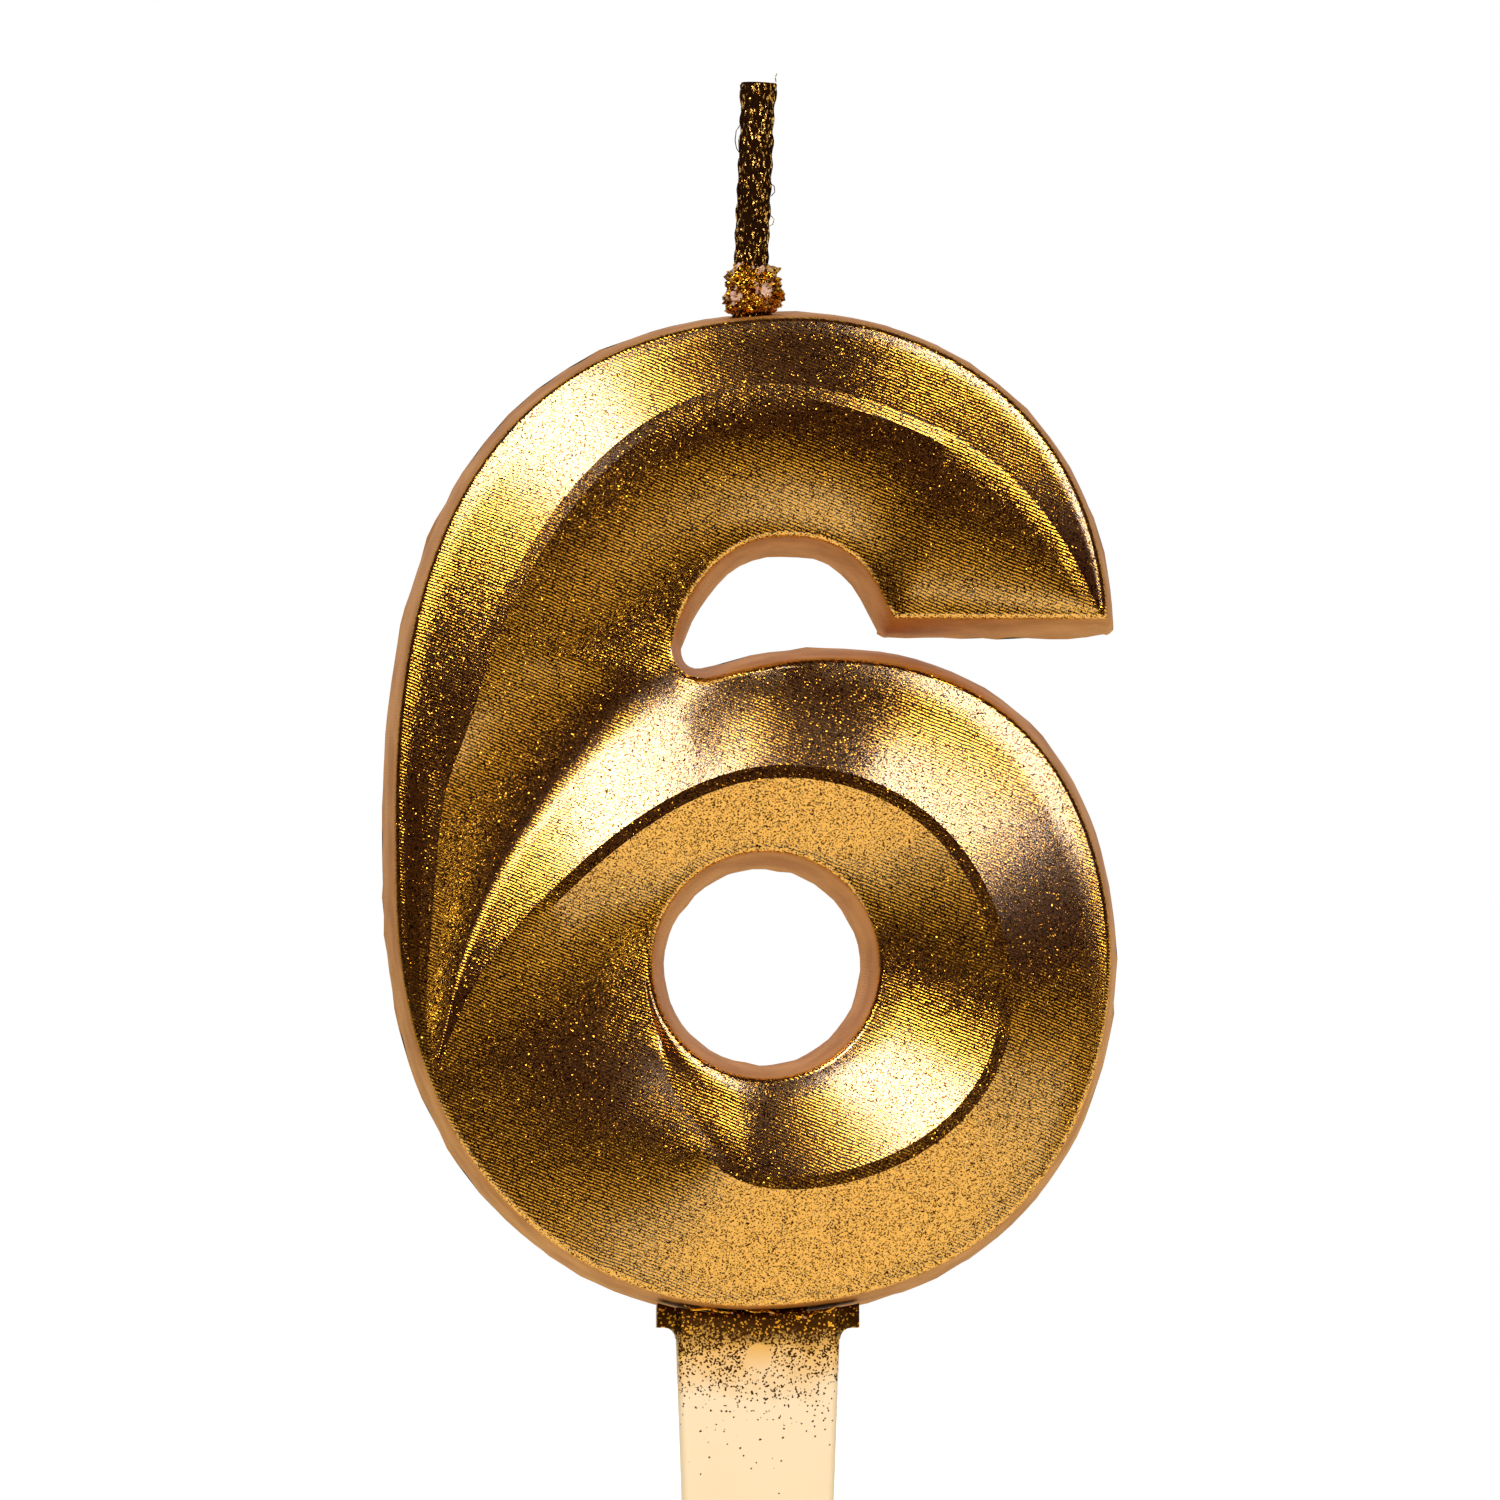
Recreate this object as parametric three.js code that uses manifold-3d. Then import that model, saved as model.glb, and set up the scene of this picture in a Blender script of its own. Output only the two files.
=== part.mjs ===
// Number candle, the numeral 6: a cast wax numeral with a faceted front, a wick set in the crown
// with a collar of wax round its foot, and a flat plastic pick whose barbed tang is cast into the base.
// Millimetres, +Z up. The front faces -Y. The origin is the middle of the pick, level with the cake.
import * as THREE from "three";
import { mergeVertices } from "three/addons/utils/BufferGeometryUtils.js";
import Module from "manifold-3d";

// Front outline of the numeral: heights above the cake, reaches from the pick's middle
const baseHeight = 1.4;
const crownHeight = 71.0;
const spineReach = 25.6;
const bowlReach = 24.8;
const bowlTopHeight = 47.0;
const archHeight = 55.4;
const terminalHeight = 49.6;
const terminalReach = 24.6;
const terminalHeel = 9.4;
const notchReach = 6.2;
const notchHeight = 47.9;
const notchDepth = 2.4;

// Where the outline's extremes lie along the other axis
const crownX = 2.9;
const spineHeight = 31.6;
const baseX = -1.0;
const bowlSideHeight = 26.0;
const bowlTopX = 4.9;
const notchFloorX = -3.8;
const archX = 1.8;

// Round eye of the bowl
const eyeRadius = 7.85;
const eyeX = 0.45;
const eyeHeight = 25.4;

// Section of the casting
const wallDepth = 7.5;
const wallDraft = 0.7;
const innerDraft = 0.95;
const edgeRadius = 0.6;
const facetSlope = 22;
const eyeFacetSlope = 25;
const crestWidth = 0.9;
const archCrestTilt = 9;

// Widths of the outer facets, from the outline in to the ridge
const crownFacet = 5.7;
const spineFacet = 2.3;
const bowlTopFacet = 8.1;
const bowlSideFacet = 7.7;
const bowlBaseFacet = 8.7;

// Places where the ridges and the valley bend: in from the spine, up from the eye's middle
const meetHeight = 17.6;
const archRidgeX = 4.2;
const spineBend = { in: 5.7, up: 19.8 };
const spineFoot = 29.9;
const valleyBend = { in: 10.0, up: 10.7 };
const valleyHeading = 215;
const bowlRidgeBend = { in: 10.4, up: 4.0 };
const bowlRidgeTopX = 2.1;
const bowlRidgeSide = 24.6;
const bowlRidgeBaseX = 2.3;
const eyeApproach = { left: 6.25, down: 10.2 };
const eyeLanding = 178;

// Slope at the ends of the arch facet's section, as a share of its mean slope
const levelEnd = 0.1;
const steepEnd = 1.9;

// Wick and its collar
const wickRadius = 1.25;
const wickTipRadius = 1.4;
const wickSpread = 4;
const wickTipEdge = 0.35;
const wickHeight = 87.8;
const wickDepth = 10;
const wickX = -0.5;
const wickLean = 2.4;
const collarX = -0.3;
const collarRadius = 2.1;
const collarHeight = 4.0;

// Pick
const shankWidth = 11.5;
const shankThickness = 4;
const shankTaper = 2;
const shankEdge = 0.5;
const pickLength = 42;
const tipLength = 10;
const tipRadius = 1.4;
const wingSpan = 14.2;
const wingThickness = 2.6;
const wingFillet = 0.8;

// Tang of the pick, inside the wax
const tangWidth = 6.4;
const tangThickness = 2.4;
const tangHeight = 12.4;
const barbReach = 0.9;
const barbPitch = 3.4;
const barbCount = 2;

// Fits and fineness
const clearance = 0.3;
const railStep = 1.3;
const facetRails = 3;
const archFacetRails = 6;
const evening = 8;
const eyeSteps = 48;
const cornerSteps = 6;
const roundSteps = 20;

const wasm = await Module();
wasm.setup();

const front = -wallDepth / 2;
const back = wallDepth / 2;
const radians = THREE.MathUtils.degToRad;

function solidOf(geometry) {
  const bare = geometry.clone();
  bare.deleteAttribute("normal");
  bare.deleteAttribute("uv");
  const merged = mergeVertices(bare, 1e-4);
  return new wasm.Manifold(
    new wasm.Mesh({
      numProp: 3,
      vertProperties: merged.attributes.position.array,
      triVerts: new Uint32Array(merged.index.array),
    }),
  );
}

function geometryOf(solid) {
  const mesh = solid.getMesh();
  const geometry = new THREE.BufferGeometry();
  geometry.setAttribute("position", new THREE.BufferAttribute(mesh.vertProperties, 3));
  geometry.setIndex(new THREE.BufferAttribute(mesh.triVerts, 1));
  const faceted = geometry.toNonIndexed();
  faceted.computeVertexNormals();
  return faceted;
}

// A curve node: its place, the heading of the curve there in degrees, and how hard the curve is
// pulled along that heading before and after it, as a share of the distance to its neighbour.
function node(x, z, heading, before, after) {
  return { at: new THREE.Vector2(x, z), heading: radians(heading), before, after };
}

function along(angle, length) {
  return new THREE.Vector2(Math.cos(angle), Math.sin(angle)).multiplyScalar(length);
}

function curveBetween(a, b) {
  const span = a.at.distanceTo(b.at);
  const leave = a.at.clone().add(along(a.heading, a.after * span));
  const arrive = b.at.clone().sub(along(b.heading, b.before * span));
  return new THREE.CubicBezierCurve(a.at, leave, arrive, b.at);
}

// Evenly spaced points of a curve between two shares of its length, without the last one.
function pointsOf(curve, from = 0, to = 1, fewest = 1) {
  const steps = Math.max(fewest, Math.ceil((curve.getLength() * (to - from)) / railStep));
  return Array.from({ length: steps }, (_, i) => curve.getPointAt(from + ((to - from) * i) / steps));
}

function pointsThrough(nodes) {
  const runs = nodes.slice(1).map((end, i) => pointsOf(curveBetween(nodes[i], end), 0, 1, 3));
  return [...runs.flat(), nodes.at(-1).at.clone()];
}

// Share of a curve's length up to which its points pass a test.
function shareWhile(curve, passes) {
  let [before, after] = [0, 1];
  for (let i = 0; i < 40; i++) {
    const middle = (before + after) / 2;
    if (passes(curve.getPointAt(middle))) before = middle;
    else after = middle;
  }
  return before;
}

// The front outline, anticlockwise from the terminal's lower corner, in the three runs that the
// facets share: over the crown to where the ridges meet, round the bowl to the notch, and back
// along the arch.
function outlineRuns() {
  const corner = node(terminalReach, terminalHeight, 93, 0, 0.54);
  const crown = node(crownX, crownHeight, 180, 0.25, 0.64);
  const spine = node(-spineReach, spineHeight, 270, 0.14, 0.61);
  const base = node(baseX, baseHeight, 0, 0.23, 0.67);
  const side = node(bowlReach, bowlSideHeight, 90, 0.15, 0.13);
  const bowlTop = node(bowlTopX, bowlTopHeight, 180, 0.64, 0.56);
  const notchFloor = node(notchFloorX, notchHeight - notchDepth, 180, 0.11, 0.54);
  const notch = node(-notchReach, notchHeight, 90, 0.35, 0.02);
  const arch = node(archX, archHeight, 0, 0.54, 0.68);
  const heel = node(terminalHeel, terminalHeight, 320, 0.12, 0);

  const underSpine = curveBetween(spine, base);
  const meet = shareWhile(underSpine, (p) => p.y > meetHeight);
  const inNotch = curveBetween(notchFloor, notch);
  const valleyStart = 0.5;
  const underTerminal = new THREE.LineCurve(heel.at, corner.at);

  const overCrown = [
    ...pointsOf(curveBetween(corner, crown)),
    ...pointsOf(curveBetween(crown, spine)),
    ...pointsOf(underSpine, 0, meet),
  ];
  const roundBowl = [
    ...pointsOf(underSpine, meet, 1),
    ...pointsOf(curveBetween(base, side)),
    ...pointsOf(curveBetween(side, bowlTop)),
    ...pointsOf(curveBetween(bowlTop, notchFloor)),
    ...pointsOf(inNotch, 0, valleyStart, 3),
  ];
  const alongArch = [
    ...pointsOf(inNotch, valleyStart, 1, 3),
    ...pointsOf(curveBetween(notch, arch)),
    ...pointsOf(curveBetween(arch, heel)),
    ...pointsOf(underTerminal),
  ];
  return [overCrown, roundBowl, alongArch];
}

// A closed loop moved outwards, or inwards if the distance is negative, by as much at each point as
// the distance given for it. Moved outwards, a sharp corner becomes an arc; inwards, it stays one point.
function offsetLoopBy(loop, distanceAt) {
  return loop.flatMap((point, i) => {
    const distance = distanceAt(point, i);
    const before = point.clone().sub(loop.at(i - 1)).normalize();
    const after = loop[(i + 1) % loop.length].clone().sub(point).normalize();
    const turn = Math.atan2(before.cross(after), before.dot(after));
    const outwards = Math.atan2(-before.x, before.y);
    if (turn > radians(30) && distance > 0) {
      return Array.from({ length: cornerSteps + 1 }, (_, k) =>
        point.clone().add(along(outwards + (turn * k) / cornerSteps, distance)),
      );
    }
    return [point.clone().add(along(outwards + turn / 2, distance / Math.cos(turn / 2)))];
  });
}

function offsetLoop(loop, distance) {
  return offsetLoopBy(loop, () => distance);
}

// The wall's foot at the back: the counter's wall drafts more than the outer wall, and the draft
// changes from one to the other along the bowl's right side.
function backOutline([overCrown, roundBowl, alongArch]) {
  const side = roundBowl.findIndex((p) => p.x > bowlTopX && p.y > bowlSideHeight);
  return offsetLoopBy([...overCrown, ...roundBowl, ...alongArch], (point, i) => {
    const inCounter = i - overCrown.length > side ? 1 : 0;
    const blend = THREE.MathUtils.smoothstep(point.y, bowlSideHeight, notchHeight - notchDepth);
    return THREE.MathUtils.lerp(wallDraft, innerDraft, inCounter * blend);
  });
}

// A rail is a list of points in space: a plan curve at a level in front of the numeral's front plane,
// with any of its points raised further by as much as the list given says.
function rail(points, level = 0, raised = []) {
  return points.map((p, i) => new THREE.Vector3(p.x, front - level - (raised[i] ?? 0), p.y));
}

function closed(points) {
  return [...points, points[0]];
}

function circle(radius, start = eyeLanding) {
  return Array.from({ length: eyeSteps }, (_, i) =>
    along(radians(start) + (2 * Math.PI * i) / eyeSteps, radius).add(new THREE.Vector2(eyeX, eyeHeight)),
  );
}

// Least distance in plan from a point to a line of points.
function distanceTo(points, p) {
  const flat = (point) => new THREE.Vector3(point.x, point.y, 0);
  const here = flat(p);
  const nearest = new THREE.Vector3();
  return points.slice(1).reduce((least, end, i) => {
    new THREE.Line3(flat(points[i]), flat(end)).closestPointToPoint(here, true, nearest);
    return Math.min(least, nearest.distanceTo(here));
  }, Infinity);
}

// Triangles between two rails that run the same way, the first on the right seen from the front.
// Each step goes along whichever rail leaves the shorter diagonal.
function strip(right, left) {
  const triangles = [];
  let [i, j] = [0, 0];
  while (i < right.length - 1 || j < left.length - 1) {
    const rightLeft = i < right.length - 1 ? right[i + 1].distanceTo(left[j]) : Infinity;
    const leftRight = j < left.length - 1 ? left[j + 1].distanceTo(right[i]) : Infinity;
    if (rightLeft <= leftRight) {
      triangles.push([right[i], right[i + 1], left[j]]);
      i++;
    } else {
      triangles.push([right[i], left[j + 1], left[j]]);
      j++;
    }
  }
  return triangles.filter(([a, b, c]) => !a.equals(b) && !b.equals(c) && !a.equals(c));
}

// The mean of a value over the places near a place in a list, over fewer of them near the list's ends.
function evened(count, k, valueAt) {
  const reach = Math.min(evening, k, count - 1 - k);
  let sum = 0;
  for (let i = k - reach; i <= k + reach; i++) sum += valueAt(i);
  return sum / (2 * reach + 1);
}

// Places on two rails, counted in points, that lie across from each other.
function pairsAcross(right, left) {
  const pairs = [[0, 0]];
  while (pairs.at(-1)[0] < right.length - 1 || pairs.at(-1)[1] < left.length - 1) {
    const [i, j] = pairs.at(-1);
    const rightLeft = i < right.length - 1 ? right[i + 1].distanceTo(left[j]) : Infinity;
    const leftRight = j < left.length - 1 ? left[j + 1].distanceTo(right[i]) : Infinity;
    pairs.push(rightLeft <= leftRight ? [i + 1, j] : [i, j + 1]);
  }
  return pairs.map((_, k) => [0, 1].map((side) => evened(pairs.length, k, (i) => pairs[i][side])));
}

// The place on a rail that is a whole number of points and a share of the next step along it.
function placeOn(rail, at) {
  const whole = Math.min(Math.floor(at), rail.length - 2);
  return rail[whole].clone().lerp(rail[whole + 1], at - whole);
}

// A facet between two rails, with rails of its own across it, whose levels are evened out along it.
// Its section is straight, or follows the shape given: the share of the rise at a share of the way.
function facet(right, left, count, shape = (share) => share) {
  const pairs = pairsAcross(right, left).map(([i, j]) => [placeOn(right, i), placeOn(left, j)]);
  const rails = Array.from({ length: count }, (_, k) => {
    const share = (k + 1) / (count + 1);
    const levels = pairs.map(([from, to]) => THREE.MathUtils.lerp(from.y, to.y, shape(share, from, to)));
    return pairs.map(([from, to], i) => {
      const place = from.clone().lerp(to, share);
      return place.setY(evened(levels.length, i, (near) => levels[near]));
    });
  });
  const all = [right, ...rails, left];
  return all.slice(1).flatMap((next, k) => strip(all[k], next));
}

function geometryFromTriangles(triangles) {
  return new THREE.BufferGeometry().setFromPoints(triangles.flat());
}

// A ridge with a narrow flat crest that tilts to its right. Its height and the crest's width follow
// from how far it is from the low edges beside it, so both fade out where it runs into one of them.
function ridge(points, rightEdge, leftRoom, tilt = 0) {
  const rails = { right: [], left: [] };
  points.forEach((p, i) => {
    const ahead = points[Math.min(i + 1, points.length - 1)];
    const behind = points[Math.max(i - 1, 0)];
    const across = ahead.clone().sub(behind).normalize();
    across.set(across.y, -across.x);
    const outerRoom = distanceTo(rightEdge, p);
    const innerRoom = leftRoom(p);
    const outerRise = outerRoom * Math.tan(radians(facetSlope));
    const innerRise = innerRoom * Math.tan(radians(eyeFacetSlope));
    const rise = outerRise / Math.pow(1 + Math.pow(outerRise / Math.max(innerRise, 1e-6), 4), 0.25);
    const half = Math.min(crestWidth / 2, outerRoom * 0.3, innerRoom * 0.3);
    const right = p.clone().addScaledVector(across, half);
    const left = p.clone().addScaledVector(across, -half);
    const fall = half * Math.tan(radians(tilt));
    rails.right.push(new THREE.Vector3(right.x, front - rise + fall, right.y));
    rails.left.push(new THREE.Vector3(left.x, front - rise - fall, left.y));
  });
  return rails;
}

// Section of the arch's inner facet, from the ridge to the counter or the valley. Over the crown it
// leaves the ridge level and falls off steeply at the counter; down the spine it falls off steeply
// at the ridge and runs out level in the valley.
function archSection(share, onRidge, inner) {
  const downSpine = 1 - THREE.MathUtils.smoothstep(onRidge.z, notchHeight - notchDepth, archHeight);
  const overCounter = THREE.MathUtils.smoothstep(inner.x, -notchReach, archX);
  const leave = THREE.MathUtils.lerp(levelEnd, steepEnd, downSpine);
  const arrive = THREE.MathUtils.lerp(levelEnd, steepEnd, overCounter);
  const [once, twice] = [share * share, share * share * share];
  return leave * (twice - 2 * once + share) + 3 * once - 2 * twice + arrive * (twice - once);
}

// The notch is cut out of the bowl's outer facet. This is the edge the facet would have without it,
// from the bowl's top to the start of the valley.
function uncutEdge(notch) {
  const top = node(bowlTopX, bowlTopHeight - edgeRadius, 180, 0, 0.5);
  return curveBetween(top, node(notch.x, notch.y, valleyHeading, 0.4, 0));
}

function besideNotch(point) {
  return point.x < bowlTopX && point.y > bowlSideHeight;
}

// How far each point of the front edge is in front of the front plane: where the notch cuts the
// bowl's outer facet short, the facet ends before it has come down to that plane.
function raisedEdge([overCrown, roundBowl, alongArch]) {
  const uncut = uncutEdge(alongArch[0]);
  const raised = roundBowl.map((p) => {
    const beyond = uncut.getPointAt(shareWhile(uncut, (q) => q.x > p.x)).y - p.y;
    return besideNotch(p) ? Math.max(0, beyond) * Math.tan(radians(facetSlope)) : 0;
  });
  return [...overCrown.map(() => 0), ...raised, ...alongArch.map(() => 0)];
}

// The relief on the front. Two ridges and the low edges part it into an outer and an inner facet
// along the arch, and into one long facet that winds twice round the eye, first between the bowl's
// ridge and the eye, and then between the outline and the same ridge's outer side.
function frontFacets(runs, eyeEdge, raised) {
  const [overCrown, roundBowl, alongArch] = runs;
  const corner = overCrown[0];
  const meet = roundBowl[0];
  const notch = alongArch[0];
  const landing = eyeEdge[0];

  const archRidge = pointsThrough([
    node(corner.x, corner.y, 132, 0, 0.18),
    node(archRidgeX, crownHeight - crownFacet, 168, 0.64, 0.45),
    node(-spineReach + spineBend.in, eyeHeight + spineBend.up, 254, 0.25, 0.52),
    node(-spineReach + spineFacet, spineFoot, 266, 0.68, 0.35),
    node(meet.x, meet.y, 288, 0.28, 0),
  ]);
  const valley = pointsThrough([
    node(notch.x, notch.y, valleyHeading, 0, 0.1),
    node(-spineReach + valleyBend.in, eyeHeight + valleyBend.up, 236, 0.75, 0.49),
    node(meet.x, meet.y, 256, 0.26, 0),
  ]);
  const bowlRidge = pointsThrough([
    node(landing.x, landing.y, -97, 0, 0.32),
    node(eyeX - eyeApproach.left, eyeHeight - eyeApproach.down, -52, 0.19, 0.44),
    node(bowlRidgeBaseX, baseHeight + bowlBaseFacet, 1, 0.48, 0.35),
    node(bowlReach - bowlSideFacet, bowlRidgeSide, 97, 0.45, 0.47),
    node(bowlRidgeTopX, bowlTopHeight - bowlTopFacet, 178, 0.34, 0.36),
    node(-spineReach + bowlRidgeBend.in, eyeHeight + bowlRidgeBend.up, 225, 0.27, 0.44),
    node(meet.x, meet.y, 241, 0.3, 0),
  ]);

  const strokeEdge = [...overCrown, meet];
  const bowlEdge = [...roundBowl, ...valley];
  const uncut = pointsOf(uncutEdge(notch));
  const uncutBowl = [...roundBowl.filter((p) => !besideNotch(p)), ...uncut, ...valley];
  const innerEdge = [corner, ...alongArch.slice(1).reverse(), ...valley];
  const archCrest = ridge(archRidge, strokeEdge, (p) => distanceTo(innerEdge, p), archCrestTilt);
  const bowlCrest = ridge(bowlRidge, uncutBowl, (p) => distanceTo(closed(eyeEdge), p));
  const raisedBowl = rail(bowlEdge, 0, raised.slice(overCrown.length, -alongArch.length));
  const windingOuter = [...bowlCrest.left, ...raisedBowl.slice(1)];
  const windingInner = [...rail(closed(eyeEdge)), ...bowlCrest.right.slice(1)];
  return [
    ...facet(rail(strokeEdge), archCrest.right, facetRails),
    ...strip(archCrest.right, archCrest.left),
    ...facet(archCrest.left, rail(innerEdge), archFacetRails, archSection),
    ...strip(bowlCrest.right, bowlCrest.left),
    ...facet(windingOuter, windingInner, facetRails),
  ];
}

// How far in from the wall, and how far below the front plane, the rounded front edge is.
function edgeSections() {
  return [80, 55, 30, 12].map((degrees) => ({
    inset: edgeRadius * (1 - Math.sin(radians(degrees))),
    drop: edgeRadius * (1 - Math.cos(radians(degrees))),
  }));
}

// The back face, with the eye's hole in it, turned to face +Y.
function backFace(outline, eye) {
  const points = [...outline, ...eye];
  const faces = THREE.ShapeUtils.triangulateShape([...outline], [[...eye].reverse()]);
  const order = [...outline.keys(), ...[...eye.keys()].reverse().map((k) => k + outline.length)];
  return faces.map(([a, b, c]) => rail([points[order[c]], points[order[b]], points[order[a]]], -wallDepth));
}

function waxBlank() {
  const runs = outlineRuns();
  const outline = runs.flat();
  const inset = offsetLoop(outline, -edgeRadius);
  const starts = [0, runs[0].length, runs[0].length + runs[1].length];
  const insetRuns = starts.map((start, i) => inset.slice(start, starts[i + 1]));
  const raised = raisedEdge(insetRuns);
  const eyeEdge = circle(eyeRadius + edgeRadius);

  // Rails from the back face round the front edge to the facets, for the outline and for the eye.
  const backLoop = backOutline(runs);
  const backEye = circle(eyeRadius - innerDraft);
  const sections = edgeSections();
  const outlineRails = [
    rail(closed(backLoop), -wallDepth),
    ...sections.map((s) => rail(closed(offsetLoop(outline, -s.inset)), -s.drop, raised)),
    rail(closed(inset), 0, raised),
  ];
  const eyeRails = [
    rail(closed(eyeEdge)),
    ...sections.map((s) => rail(closed(circle(eyeRadius + s.inset)), -s.drop)).reverse(),
    rail(closed(backEye), -wallDepth),
  ];
  return geometryFromTriangles([
    ...frontFacets(insetRuns, eyeEdge, raised),
    ...outlineRails.slice(1).flatMap((r, i) => strip(outlineRails[i], r)),
    ...eyeRails.slice(1).flatMap((r, i) => strip(eyeRails[i], r)),
    ...backFace(backLoop, backEye),
  ]);
}

// The drafted block that the numeral's outer wall bounds, grown by a fit's clearance.
function waxEnvelope(fit) {
  const outline = outlineRuns().flat();
  const overlap = 4;
  const slope = wallDraft / wallDepth;
  const near = offsetLoop(outline, fit + 1e-3);
  const far = offsetLoop(outline, fit + wallDraft + overlap * slope);
  const faces = (loop, level) =>
    THREE.ShapeUtils.triangulateShape([...loop], []).map((face) => rail(face.map((k) => loop[k]), level));
  return geometryFromTriangles([
    ...faces(near, overlap),
    ...strip(rail(closed(near)), rail(closed(near), overlap)),
    ...strip(rail(closed(far), -wallDepth - overlap), rail(closed(near))),
    ...faces(far, -wallDepth - overlap).map((t) => t.reverse()),
  ]);
}

// A flat piece cut to an outline in X and Z, centred on the pick's middle plane.
function plate(shape, thickness, edge = 0) {
  const geometry = new THREE.ExtrudeGeometry(shape, {
    depth: thickness - 2 * edge,
    bevelEnabled: edge > 0,
    bevelSize: edge,
    bevelThickness: edge,
    bevelOffset: -edge,
    bevelSegments: 3,
  });
  return geometry.translate(0, 0, edge - thickness / 2).rotateX(Math.PI / 2);
}

// Half of a symmetrical outline, from the bottom up its right side, closed by its mirror image.
function mirroredShape(half) {
  const mirrored = half.map((p) => new THREE.Vector2(-p.x, p.y)).reverse();
  return new THREE.Shape([...half, ...mirrored.filter((p) => Math.abs(p.x) > 1e-6)]);
}

function tangOutline(fit) {
  const half = [new THREE.Vector2(tangWidth / 2 + fit, -shankEdge - wingFillet)];
  const barbFoot = tangHeight - barbCount * barbPitch - barbReach;
  for (let i = 0; i < barbCount; i++) {
    const foot = barbFoot + i * barbPitch;
    half.push(new THREE.Vector2(tangWidth / 2 + fit, foot - fit));
    half.push(new THREE.Vector2(tangWidth / 2 + barbReach + fit, foot - fit));
    half.push(new THREE.Vector2(tangWidth / 2 + fit, foot + barbPitch - 2 * fit));
  }
  half.push(new THREE.Vector2(tangWidth / 2 - barbReach + fit, tangHeight + fit));
  return mirroredShape(half);
}

function tang(fit = 0) {
  return solidOf(plate(tangOutline(fit), tangThickness + 2 * fit));
}

// The blade that goes into the cake: slightly tapered, with a rounded point.
function shankOutline() {
  const taper = Math.tan(radians(shankTaper));
  const neck = new THREE.Vector2(shankWidth / 2 - (pickLength - tipLength) * taper, tipLength - pickLength);
  const tip = new THREE.Vector2(0, -pickLength);
  const curve = new THREE.CubicBezierCurve(
    tip,
    new THREE.Vector2(tipRadius * 2, tip.y),
    new THREE.Vector2(neck.x - taper, neck.y - tipLength / 2),
    neck,
  );
  const top = new THREE.Vector2(shankWidth / 2, wingFillet);
  return mirroredShape([...curve.getPoints(8), top, new THREE.Vector2(top.x, baseHeight + edgeRadius)]);
}

// The thinner stop that rests on the cake, with a fillet down to the blade on each side.
function wingOutline() {
  const fillet = Array.from({ length: 5 }, (_, i) => {
    const angle = (Math.PI / 2) * (i / 4);
    const x = shankWidth / 2 + wingFillet * (1 - Math.cos(angle));
    return new THREE.Vector2(x, wingFillet * (Math.sin(angle) - 1));
  });
  const top = baseHeight + edgeRadius + wallDraft;
  return mirroredShape([
    new THREE.Vector2(shankWidth / 2 - wingFillet, -wingFillet),
    ...fillet,
    new THREE.Vector2(wingSpan / 2, 0),
    new THREE.Vector2(wingSpan / 2, top),
  ]);
}

function pick() {
  const shank = solidOf(plate(shankOutline(), shankThickness, shankEdge));
  const wings = solidOf(plate(wingOutline(), wingThickness));
  const underWax = shank.add(wings).subtract(solidOf(waxEnvelope(clearance)));
  return geometryOf(underWax.add(tang()));
}

function turned(profile) {
  const points = profile.map(([radius, height]) => new THREE.Vector2(radius, height));
  return new THREE.LatheGeometry(points, roundSteps).rotateX(Math.PI / 2);
}

// The wick, from its foot in the wax to its slightly spread tip, leaning to the right.
function wickGeometry(fit = 0) {
  const foot = crownHeight - wickDepth - fit;
  const length = wickHeight - foot;
  const lean = radians(wickLean);
  const wick = turned([
    [0, 0],
    [wickRadius + fit, 0],
    [wickRadius + fit, length - wickSpread],
    [wickTipRadius + fit, length - wickTipEdge],
    [wickTipRadius - wickTipEdge + fit, length],
    [0, length],
  ]);
  return wick.rotateY(lean).translate(wickX - Math.tan(lean) * wickDepth, 0, foot);
}

// The collar of wax that seals the wick, seated on the crown.
function collar() {
  const low = crownHeight - edgeRadius;
  const height = collarHeight + edgeRadius;
  const bead = turned([
    [0, 0],
    [collarRadius, 0],
    [collarRadius, height * 0.45],
    [collarRadius * 0.96, height * 0.7],
    [collarRadius * 0.82, height * 0.9],
    [collarRadius * 0.62, height],
    [0, height],
  ]);
  const seated = solidOf(bead.translate(collarX, 0, low)).subtract(solidOf(waxEnvelope(clearance)));
  return geometryOf(seated.subtract(solidOf(wickGeometry(clearance))));
}

function waxBody() {
  const socket = tang(clearance);
  const channel = solidOf(wickGeometry(clearance));
  return geometryOf(solidOf(waxBlank()).subtract(socket).subtract(channel));
}

function piece(name, geometry, color, roughness, metalness) {
  const mesh = new THREE.Mesh(geometry, new THREE.MeshStandardMaterial({ color, roughness, metalness }));
  mesh.name = name;
  return mesh;
}

const candle = new THREE.Group();
candle.add(piece("wax_body", waxBody(), 0xc48f36, 0.38, 0.9));
candle.add(piece("wick", wickGeometry(), 0x2e1c12, 0.9, 0));
candle.add(piece("wick_collar", collar(), 0xb5802f, 0.5, 0.7));
candle.add(piece("pick", pick(), 0xf3dcbc, 0.45, 0));

export default candle;
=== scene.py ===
# %% [markdown]
# # A gold number candle
# The candle is a wax numeral, 71 mm high, cast in an open mould. Its front is cut into long facets
# that wind from the terminal over the crown and round the bowl. A braided wick stands in the
# crown in a blob of wax, and a flat plastic pick holds the candle in a cake. The numeral was
# sprayed with gold glitter paint after casting, and some of the spray reached the wick and the pick.
#
# The imported model gives every size. It is loaded first.

# %% Load the imported model
import math

import bmesh
import bpy
from mathutils import Matrix, Vector, noise


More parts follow.
